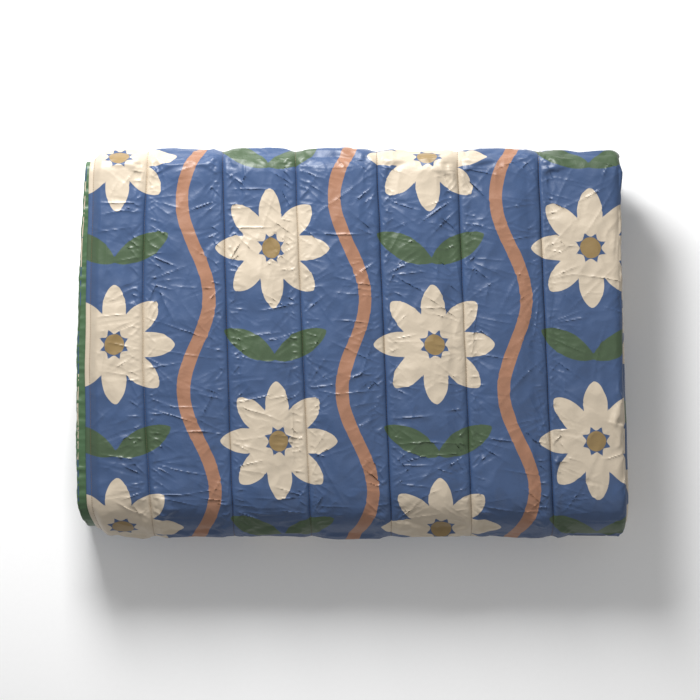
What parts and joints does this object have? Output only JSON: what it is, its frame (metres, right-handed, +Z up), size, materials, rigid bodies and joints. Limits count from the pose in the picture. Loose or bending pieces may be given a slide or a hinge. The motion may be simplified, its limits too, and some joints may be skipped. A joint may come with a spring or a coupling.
{
  "type": "camp blanket",
  "caption": "Quilted puffy camp blanket, folded into a flat rectangular bundle, with a printed face, a plain lining and a final fold that opens.",
  "frame": {"origin": "under the middle of the folded bundle, on the surface it lies on", "axes": "+X from the open side hems to the side fold, along the bundle's longest side; +Y from the final fold to the cross fold; +Z up through the stack"},
  "size_m": [0.674, 0.489, 0.125],
  "materials": {
    "printed_face": "satin printed polyester taffeta, blue ground with cream, ochre, terracotta and green shapes",
    "lining": "satin plain green polyester taffeta",
    "insulation": "matt white polyester batting",
    "thread": "spun polyester sewing thread"
  },
  "bodies": {
    "lower_half": {"face_fabric_lower_outer": "printed_face", "lining_lower_outer": "lining", "insulation_lower_outer": "insulation", "quilting_thread_01_lower_outer": "thread", "quilting_thread_02_lower_outer": "thread", "quilting_thread_03_lower_outer": "thread", "quilting_thread_04_lower_outer": "thread", "quilting_thread_05_lower_outer": "thread", "quilting_thread_06_lower_outer": "thread", "quilting_thread_07_lower_outer": "thread", "quilting_thread_08_lower_outer": "thread", "quilting_thread_09_lower_outer": "thread", "quilting_thread_10_lower_outer": "thread", "quilting_thread_11_lower_outer": "thread", "quilting_thread_12_lower_outer": "thread", "quilting_thread_13_lower_outer": "thread", "side_hem_thread_1_lower_outer": "thread", "side_hem_thread_2_lower_outer": "thread", "face_fabric_lower_inner": "printed_face", "lining_lower_inner": "lining", "insulation_lower_inner": "insulation", "quilting_thread_01_lower_inner": "thread", "quilting_thread_02_lower_inner": "thread", "quilting_thread_03_lower_inner": "thread", "quilting_thread_04_lower_inner": "thread", "quilting_thread_05_lower_inner": "thread", "quilting_thread_06_lower_inner": "thread", "quilting_thread_07_lower_inner": "thread", "quilting_thread_08_lower_inner": "thread", "quilting_thread_09_lower_inner": "thread", "quilting_thread_10_lower_inner": "thread", "quilting_thread_11_lower_inner": "thread", "quilting_thread_12_lower_inner": "thread", "quilting_thread_13_lower_inner": "thread", "side_hem_thread_1_lower_inner": "thread", "side_hem_thread_2_lower_inner": "thread", "end_hem_thread_outer": "thread", "end_hem_thread_inner": "thread"},
    "upper_half": {"face_fabric_upper": "printed_face", "lining_upper": "lining", "insulation_upper": "insulation", "quilting_thread_01_upper": "thread", "quilting_thread_02_upper": "thread", "quilting_thread_03_upper": "thread", "quilting_thread_04_upper": "thread", "quilting_thread_05_upper": "thread", "quilting_thread_06_upper": "thread", "quilting_thread_07_upper": "thread", "quilting_thread_08_upper": "thread", "quilting_thread_09_upper": "thread", "quilting_thread_10_upper": "thread", "quilting_thread_11_upper": "thread", "quilting_thread_12_upper": "thread", "quilting_thread_13_upper": "thread", "side_hem_thread_1_upper": "thread", "side_hem_thread_2_upper": "thread"}
  },
  "joints": [
    {"name": "final_fold", "type": "hinge", "parent": "lower_half", "child": "upper_half", "pos_m": [0, -0.2445, 0.0625], "axis": [1, 0, 0], "range_deg": [0, 180]}
  ]
}
